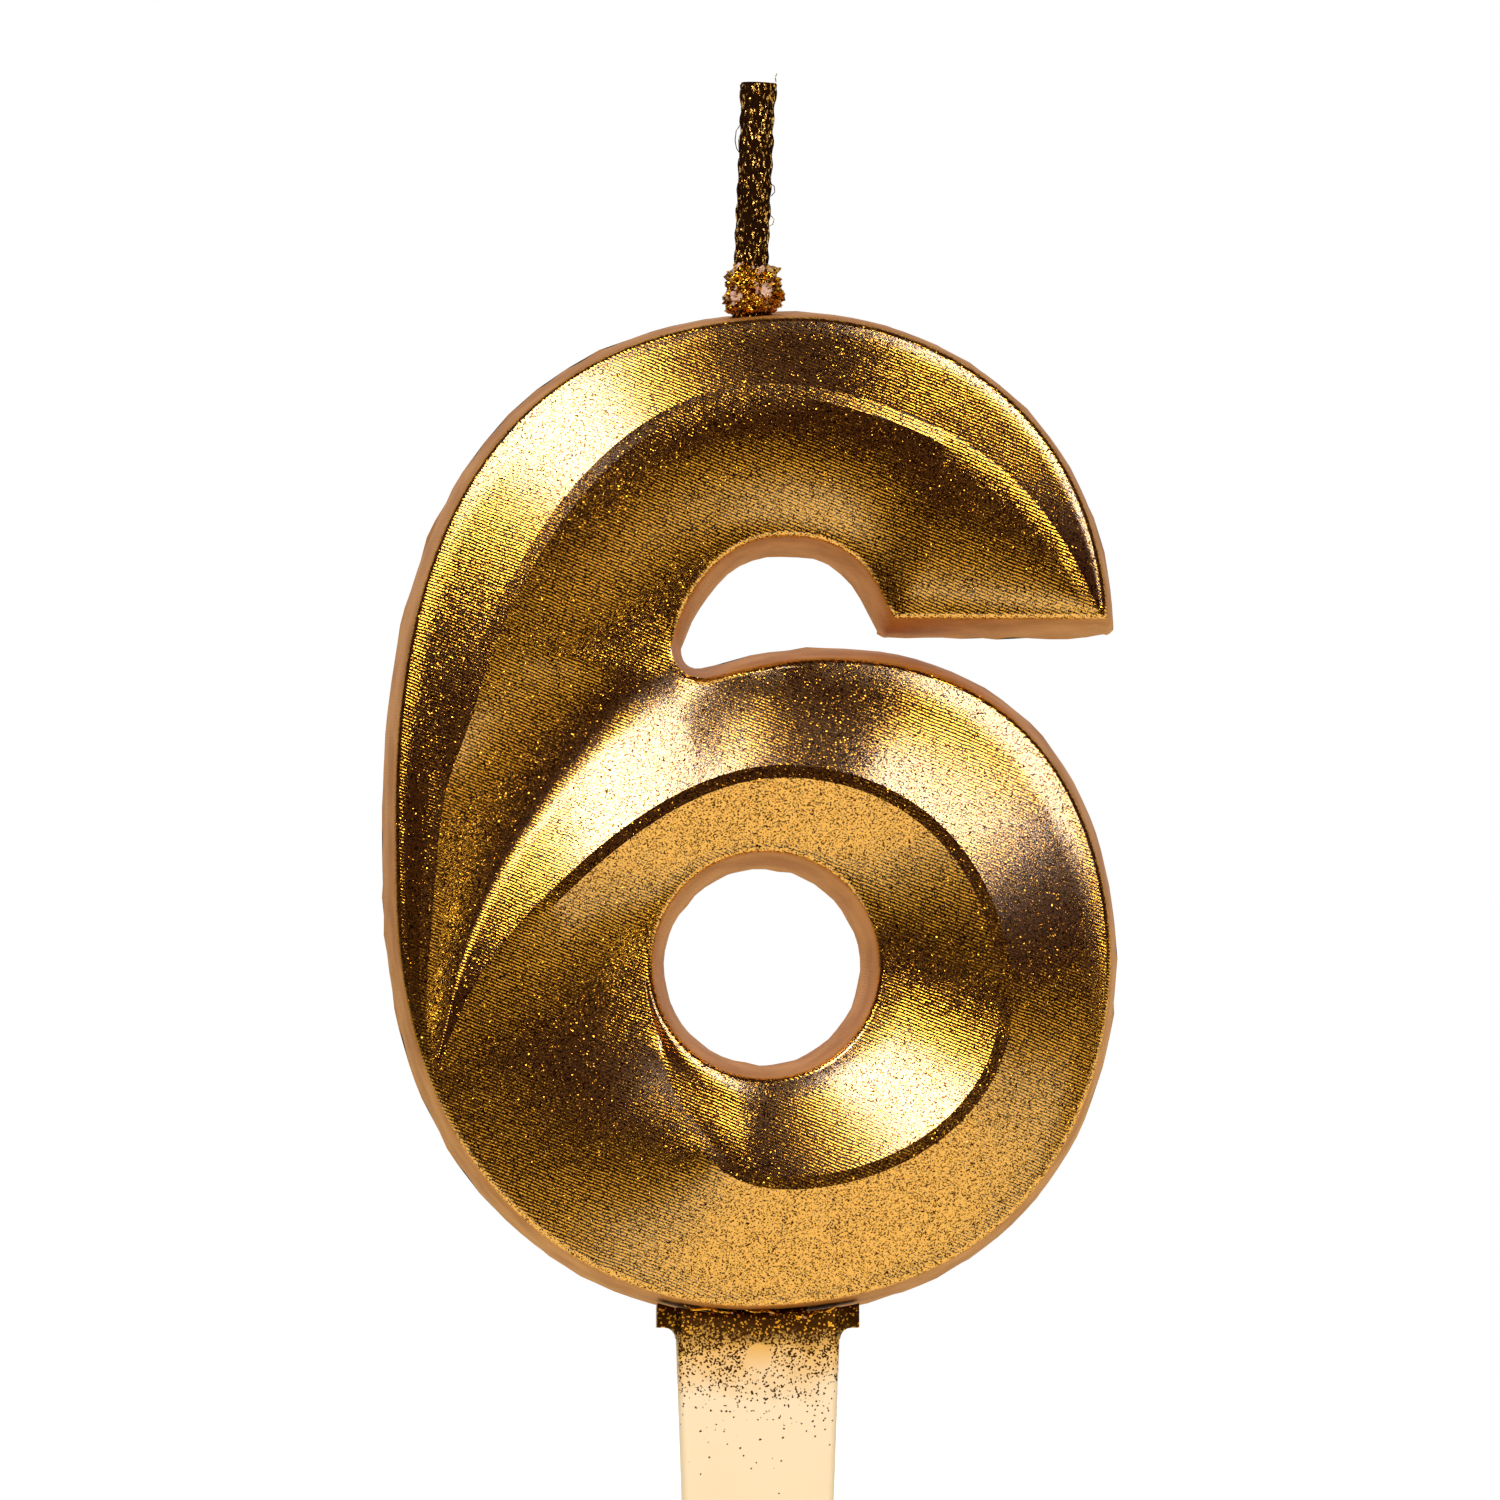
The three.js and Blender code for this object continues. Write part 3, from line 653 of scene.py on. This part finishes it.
# %% [markdown]
# ## The wick
# A candle's wick is a tight cotton braid. Two sets of yarns run round a core in opposite
# directions and pass over and under each other. Each yarn is a small circle pushed along its own
# path, because a flat tube with a bump map would have a straight outline, and the real one is bumpy
# and frayed at the cut.

# %% Push a circle along a path
def pushed_tube(bm, points, radius_at, sides):
    ring = bmesh.ops.create_circle(bm, segments=sides, radius=1, cap_ends=True)["verts"]
    heading = (points[1] - points[0]).normalized()
    matrix = Matrix.Translation(points[0]) @ heading.to_track_quat("Z", "X").to_matrix().to_4x4()
    bmesh.ops.transform(bm, matrix=matrix @ Matrix.Scale(radius_at(0), 4), verts=ring)
    edges = list(dict.fromkeys(e for v in ring for e in v.link_edges))
    last = len(points) - 1
    for i in range(1, last + 1):
        pushed = bmesh.ops.extrude_edge_only(bm, edges=edges)["geom"]
        ring = [g for g in pushed if isinstance(g, bmesh.types.BMVert)]
        edges = [g for g in pushed if isinstance(g, bmesh.types.BMEdge)]
        new_heading = (points[min(i + 1, last)] - points[i - 1]).normalized()
        turn = heading.rotation_difference(new_heading).to_matrix().to_4x4()
        grow = Matrix.Scale(radius_at(i / last) / radius_at((i - 1) / last), 4)
        move = Matrix.Translation(points[i]) @ turn @ grow @ Matrix.Translation(-points[i - 1])
        bmesh.ops.transform(bm, matrix=move, verts=ring)
        heading = new_heading
    bmesh.ops.contextual_create(bm, geom=edges)


# %% [markdown]
# The cotton is nearly black with a dusting of gold. Its surface is split into cells, longer than
# they are wide, and about one in four of them is a gold flake. Separate flakes could be scattered
# over the yarns, but at this size a switch between two finishes looks the same.

# %% Material: dark cotton with gold flecks
FLECKS_PER_METRE = 8500
ALONG_THE_YARN = 0.4
BARE_CELLS = 0.77
FIBRES_PER_METRE = 6000
DARK_COTTON, LIT_COTTON = (0.006, 0.002, 0.0005), (0.030, 0.009, 0.002)
FLECK_GOLD = (0.95, 0.52, 0.12)
COTTON_ROUGHNESS, FLECK_ROUGHNESS = 0.85, 0.2
COTTON_SHEEN = 0.02
FLECK_SLOPE = 0.3


def cell_chance(tree, vector, cells_per_metre):
    flecks = tree.nodes.new("ShaderNodeTexVoronoi")
    flecks.inputs["Scale"].default_value = cells_per_metre
    tree.links.new(vector, flecks.inputs["Vector"])
    chance = tree.nodes.new("ShaderNodeTexWhiteNoise")
    tree.links.new(flecks.outputs["Position"], chance.inputs["Vector"])
    return chance.outputs["Value"]


def flecked_cotton():
    material, tree, cotton = node_material("dark_cotton_with_gold")
    place = tree.nodes.new("ShaderNodeTexCoord").outputs["Object"]
    stretched = tree.nodes.new("ShaderNodeMapping")
    stretched.inputs["Scale"].default_value = (1, 1, ALONG_THE_YARN)
    tree.links.new(place, stretched.inputs["Vector"])
    chance = cell_chance(tree, stretched.outputs["Vector"], FLECKS_PER_METRE)
    gold = math_node(tree, "GREATER_THAN", chance, BARE_CELLS)
    fibres = clouds(tree, stretched.outputs["Vector"], FIBRES_PER_METRE)
    cloth = mix_colour(tree, fibres, DARK_COTTON, LIT_COTTON)
    tree.links.new(mix_colour(tree, gold, cloth, FLECK_GOLD), cotton.inputs["Base Color"])
    cotton.inputs["Specular IOR Level"].default_value = COTTON_SHEEN
    tree.links.new(gold, cotton.inputs["Metallic"])
    roughness = mapped(tree, gold, 0, 1, COTTON_ROUGHNESS, FLECK_ROUGHNESS)
    tree.links.new(roughness, cotton.inputs["Roughness"])
    geometry = tree.nodes.new("ShaderNodeNewGeometry")
    flakes = group_node(tree, FLAKES, Position=place, Normal=geometry.outputs["Normal"], Slope=FLECK_SLOPE)
    tree.links.new(flakes.outputs["Normal"], cotton.inputs["Normal"])
    return material


COTTON = flecked_cotton()
print("material", COTTON.name, "with", len(COTTON.node_tree.nodes), "nodes")

# %% Braid the wick
WICK_TOP, WICK_FOOT = 87.5 * MM, 62.0 * MM
WICK_X, CROWN = -0.62 * MM, 71 * MM
WICK_LEAN = math.radians(2.4)
CORE_RADIUS, CORE_FLARE = 1.08, 0.14
CORE_STEPS = 8
CORE_STANDS_OUT = 0.1 * MM
YARNS_EACH_WAY = 8
YARN_STEPS = 90
YARN = 0.23 * MM
BRAID_RADIUS = 1.0 * MM
BRAID_LEAD = 13.0 * MM
BRAID_DEPTH = 0.05 * MM
UNEVENNESS = 0.03 * MM
CUT_FLARE, FLARE_LENGTH = 0.16 * MM, 0.1
UNEVEN_WAVES = 40
FIBRE = 0.035 * MM
LOOSE_FIBRES = [
    [(1.1, -0.3, -0.3), (1.2, -0.4, 0.2), (1.15, -0.4, 0.5), (1.25, -0.5, 0.75)],
    [(-1.2, -0.4, -2.9), (-1.45, -0.4, -3.3), (-1.5, -0.4, -4.0), (-1.38, -0.4, -4.5), (-1.2, -0.4, -4.8)],
    [(1.15, -0.3, -7.0), (1.4, -0.3, -7.2), (1.45, -0.3, -7.6), (1.2, -0.3, -7.9)],
    [(1.15, -0.3, -9.2), (1.5, -0.4, -9.5), (1.4, -0.4, -9.9), (1.15, -0.3, -10.0)],
]


def wick_centre(height):
    return Vector((WICK_X + (height - CROWN) * math.tan(WICK_LEAN), 0, height))


def yarn_path(start, way):
    points = []
    for i in range(YARN_STEPS + 1):
        share = i / YARN_STEPS
        height = WICK_FOOT + (WICK_TOP - WICK_FOOT) * share
        angle = start + way * 2 * math.pi * (height - WICK_FOOT) / BRAID_LEAD
        over = math.sin(YARNS_EACH_WAY * (angle - start) + (0 if way > 0 else math.pi))
        flare = max(0.0, (share - (1 - FLARE_LENGTH)) / FLARE_LENGTH) ** 2 * CUT_FLARE
        uneven = UNEVENNESS * noise.noise(Vector((start, share * UNEVEN_WAVES, way)))
        radius = BRAID_RADIUS + BRAID_DEPTH * over + flare + uneven
        points.append(wick_centre(height) + Vector((math.cos(angle), math.sin(angle), 0)) * radius)
    return points


def braided_wick():
    bm = bmesh.new()
    length = WICK_TOP + CORE_STANDS_OUT - WICK_FOOT
    core = [wick_centre(WICK_FOOT + length * i / CORE_STEPS) for i in range(CORE_STEPS + 1)]
    pushed_tube(bm, core, lambda share: (CORE_RADIUS + CORE_FLARE * share ** 8) * MM, sides=24)
    for k in range(YARNS_EACH_WAY):
        for way in (1, -1):
            start = 2 * math.pi * k / YARNS_EACH_WAY
            pushed_tube(bm, yarn_path(start, way), lambda share: YARN, sides=6)
    for path in LOOSE_FIBRES:
        points = [wick_centre(WICK_TOP + z * MM) + Vector((x, y, 0)) * MM for x, y, z in path]
        pushed_tube(bm, points, lambda share: FIBRE, sides=5)
    return bm


finished("braided_wick", braided_wick(), COTTON, "wick", sharp=60)

# %% [markdown]
# ## The blob of wax at the wick's foot
# The wick is fixed in its hole with a drop of wax, which set as a rough, lumpy collar and was
# sprayed with the rest. A ball of many small faces is pulled in and out by noise, which suits a
# shape that no tool made. A few bare patches of pink wax are left in its material.

# %% Material: sprayed lumps of wax
PINK_WAX = (0.75, 0.45, 0.32)
BETWEEN_COARSE_FLAKES = (0.10, 0.035, 0.006)
COARSE_FLAKES_PER_METRE = 6000
COARSE_SLOPE = 0.35
COARSE_CHANCE = (0.25, 0.6)
BARE_PER_METRE, BARE_PATCHES = 900, (0.58, 0.62)
SPRAYED_ROUGHNESS, BARE_ROUGHNESS = 0.2, 0.4


def sprayed_lumps():
    material, tree, wax = node_material("sprayed_lumps_of_wax")
    place = tree.nodes.new("ShaderNodeTexCoord").outputs["Object"]
    geometry = tree.nodes.new("ShaderNodeNewGeometry")
    flakes = group_node(tree, FLAKES, Position=place, Normal=geometry.outputs["Normal"],
                        Flakes_per_metre=COARSE_FLAKES_PER_METRE, Slope=COARSE_SLOPE)
    covered = mapped(tree, flakes.outputs["Chance"], *COARSE_CHANCE)
    gold = mix_colour(tree, covered, BETWEEN_COARSE_FLAKES, FLAKE_GOLD)
    bare = mapped(tree, clouds(tree, place, BARE_PER_METRE), *BARE_PATCHES)
    tree.links.new(mix_colour(tree, bare, gold, PINK_WAX), wax.inputs["Base Color"])
    tree.links.new(math_node(tree, "SUBTRACT", 1.0, bare), wax.inputs["Metallic"])
    tree.links.new(mapped(tree, bare, 0, 1, SPRAYED_ROUGHNESS, BARE_ROUGHNESS), wax.inputs["Roughness"])
    tree.links.new(flakes.outputs["Normal"], wax.inputs["Normal"])
    return material


LUMPS = sprayed_lumps()
print("material", LUMPS.name, "with", len(LUMPS.node_tree.nodes), "nodes")

# %% Pull a ball into a blob
COLLAR_FOOT, COLLAR_TOP = (Vector(c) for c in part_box("wick_collar"))
BROAD_LUMP, SMALL_LUMP, CRUMB = 0.22, 0.16, 0.22
BROAD_WAVES, SMALL_WAVES, CRUMB_WAVES = 2.6, 6.0, 15.0
SHOULDERS = 1.5
FULLNESS = 0.84
TAPER = 0.12


def lumpy_collar():
    bm = bmesh.new()
    bmesh.ops.create_icosphere(bm, subdivisions=5, radius=1)
    middle = (COLLAR_FOOT + COLLAR_TOP) / 2
    half = (COLLAR_TOP - COLLAR_FOOT) / 2
    for vert in bm.verts:
        way = vert.co.normalized()
        level = math.hypot(way.x, way.y)
        spread = min(1.0, SHOULDERS * level) / max(level, 1e-6)
        lumps = BROAD_LUMP * noise.noise(way * BROAD_WAVES) + SMALL_LUMP * noise.noise(way * SMALL_WAVES)
        lumps += CRUMB * abs(noise.noise(way * CRUMB_WAVES))
        across = spread * (FULLNESS + lumps - TAPER * max(0.0, way.z))
        pulled = (way.x * half.x * across, way.y * half.y * across, way.z * half.z * (1 + lumps))
        vert.co = middle + Vector(pulled)
    return bm


finished("wax_collar", lumpy_collar(), LUMPS, "wick_collar", sharp=180)

# %% [markdown]
# ## The pick
# The pick is moulded from cream plastic: a blade with rounded edges, and a thin cross-piece that
# stops at the cake. Its imported solid is right, so a merged copy only gets small rounds on the edges.
# The plastic lets a little light in, warm and one millimetre deep, which keeps it from looking chalky.
# The spray that missed the numeral settled on its top: dense under the wax, then a yellow haze, then single
# specks, and the near-black brown of the dense band is partly painted shade, where the wax hangs over the
# pick. A painted picture could hold that, but heights with a wandering edge stay sharp at any size. One
# round spot below the wax is clean, probably where a pin covered it during the spraying.

# %% Material: cream plastic with overspray
CREAM, DEEPER_CREAM = (1.0, 0.77, 0.47), (1.0, 0.73, 0.44)
HAZE_YELLOW = (0.86, 0.46, 0.08)
# The brown of the dense band under the wax is dense overspray, darkened further with painted shade from the
# overhanging wax.
SPRAY_AND_SHADE_BROWN, SPECK_BROWN = (0.05, 0.014, 0.003), (0.07, 0.025, 0.004)
SPRAY_AND_SHADE_BAND, HAZE_BAND, SPECK_BAND = (0.0002, 0.0022), (-0.0032, 0.0006), (-0.0075, 0.0022)
WANDER, WANDERS_PER_METRE = 0.004, 350
MOST_SPECKS, FEWEST_SPECKS = 0.75, 0.002
SPECKS_FADE = 3.0
GLINT_CHANCE = 0.88
PIN_PLACE = (0, 0, -0.002)
ONE_OVER_PIN = (1000, 0, 1100)
PIN_EDGE = (0.85, 1.15)
CREAM_ROUGHNESS, HAZE_ROUGHNESS = 0.45, 0.4
CREAM_CLOUDS_PER_METRE = 120
LIGHT_SHARE, LIGHT_DEPTH, LIGHT_TINT = 0.15, 1 * MM, (1.0, 0.8, 0.6)


def outside_the_pin(tree, place):
    from_pin = vector_node(tree, "SUBTRACT", place, PIN_PLACE)
    in_radii = vector_node(tree, "MULTIPLY", from_pin, ONE_OVER_PIN)
    return mapped(tree, vector_node(tree, "LENGTH", in_radii).node.outputs["Value"], *PIN_EDGE)


def overspray_masks(tree, place):
    height = tree.nodes.new("ShaderNodeSeparateXYZ")
    tree.links.new(place, height.inputs["Vector"])
    wander = clouds(tree, place, WANDERS_PER_METRE)
    level = math_node(tree, "MULTIPLY_ADD", wander, WANDER, height.outputs["Z"])
    spray_and_shade, haze, near = (mapped(tree, level, *band) for band in (SPRAY_AND_SHADE_BAND, HAZE_BAND, SPECK_BAND))
    crowding = math_node(tree, "POWER", near, SPECKS_FADE)
    reach = math_node(tree, "MULTIPLY_ADD", crowding, MOST_SPECKS, FEWEST_SPECKS)
    outside = outside_the_pin(tree, place)
    chance = cell_chance(tree, place, FLECKS_PER_METRE)
    speck = math_node(tree, "LESS_THAN", chance, math_node(tree, "MULTIPLY", reach, outside))
    glint = math_node(tree, "MULTIPLY", math_node(tree, "GREATER_THAN", chance, GLINT_CHANCE), spray_and_shade)
    return math_node(tree, "MULTIPLY", spray_and_shade, outside), haze, speck, glint


def sprayed_plastic():
    material, tree, plastic = node_material("cream_plastic_with_overspray")
    place = tree.nodes.new("ShaderNodeTexCoord").outputs["Object"]
    band, haze, speck, glint = overspray_masks(tree, place)
    cream = mix_colour(tree, clouds(tree, place, CREAM_CLOUDS_PER_METRE), CREAM, DEEPER_CREAM)
    hazed = mix_colour(tree, haze, cream, HAZE_YELLOW)
    # The dense band's near-black is overspray and painted shade under the wax together.
    specked = mix_colour(tree, speck, mix_colour(tree, band, hazed, SPRAY_AND_SHADE_BROWN), SPECK_BROWN)
    tree.links.new(mix_colour(tree, glint, specked, FLAKE_GOLD), plastic.inputs["Base Color"])
    tree.links.new(math_node(tree, "MAXIMUM", band, speck), plastic.inputs["Metallic"])
    tree.links.new(mapped(tree, haze, 0, 1, CREAM_ROUGHNESS, HAZE_ROUGHNESS), plastic.inputs["Roughness"])
    plastic.inputs["Subsurface Weight"].default_value = LIGHT_SHARE
    plastic.inputs["Subsurface Radius"].default_value = LIGHT_TINT
    plastic.inputs["Subsurface Scale"].default_value = LIGHT_DEPTH
    return material


PLASTIC = sprayed_plastic()
print("material", PLASTIC.name, "with", len(PLASTIC.node_tree.nodes), "nodes")

# %% Round the pick's edges
EDGE_ROUND = 0.12 * MM
FLAT_ANGLE, CORNER_ANGLE = math.radians(1), math.radians(50)


def rounded_pick():
    bm = merged_copy("pick")
    bmesh.ops.dissolve_limit(bm, angle_limit=FLAT_ANGLE, verts=bm.verts, edges=bm.edges)
    sharp = [e for e in bm.edges if len(e.link_faces) == 2 and e.calc_face_angle(0) > CORNER_ANGLE]
    bmesh.ops.bevel(bm, geom=sharp, offset=EDGE_ROUND, offset_type="OFFSET", segments=2, profile=0.5,
                    affect="EDGES", clamp_overlap=True, material=-1)
    return bm


finished("cake_pick", rounded_pick(), PLASTIC, "pick", sharp=35)

# %% [markdown]
# ## The torn edge of the paint
# The paint made a skin over wax and pick together, and where the two part it tore and curled up into
# a thin, bright, wavy edge. A strip could be bent and thickened for it, but at a quarter of a
# millimetre three little cords of the same gold, pushed along wavy paths on the blade's face, look
# the same.

# %% Curl the torn edge
TORN_EDGE = [
    [(-5.2, 1.6), (-4.6, 1.25), (-3.6, 1.35), (-2.6, 1.1), (-1.8, 1.05)],
    [(-0.9, 1.25), (-0.3, 1.1), (0.5, 1.2), (1.2, 1.0)],
    [(2.2, 1.1), (2.8, 0.75), (3.4, 0.7), (4.2, 1.1), (4.9, 1.2), (5.4, 1.45)],
]
SUNK = 0.02 * MM
THIN_END, BELLY = 0.05, 0.07
BLUNT_TO = 0.08


def torn_radius(share):
    inside = min(max(share, BLUNT_TO), 1 - BLUNT_TO)
    return (THIN_END + BELLY * math.sin(math.pi * inside)) * MM


def torn_edge():
    bm = bmesh.new()
    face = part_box("pick")[0][1]
    for path in TORN_EDGE:
        points = [Vector((x * MM, face - SUNK, z * MM)) for x, z in path]
        pushed_tube(bm, points, torn_radius, sides=8)
    return bm


finished("torn_paint_edge", torn_edge(), LUMPS, sharp=80)
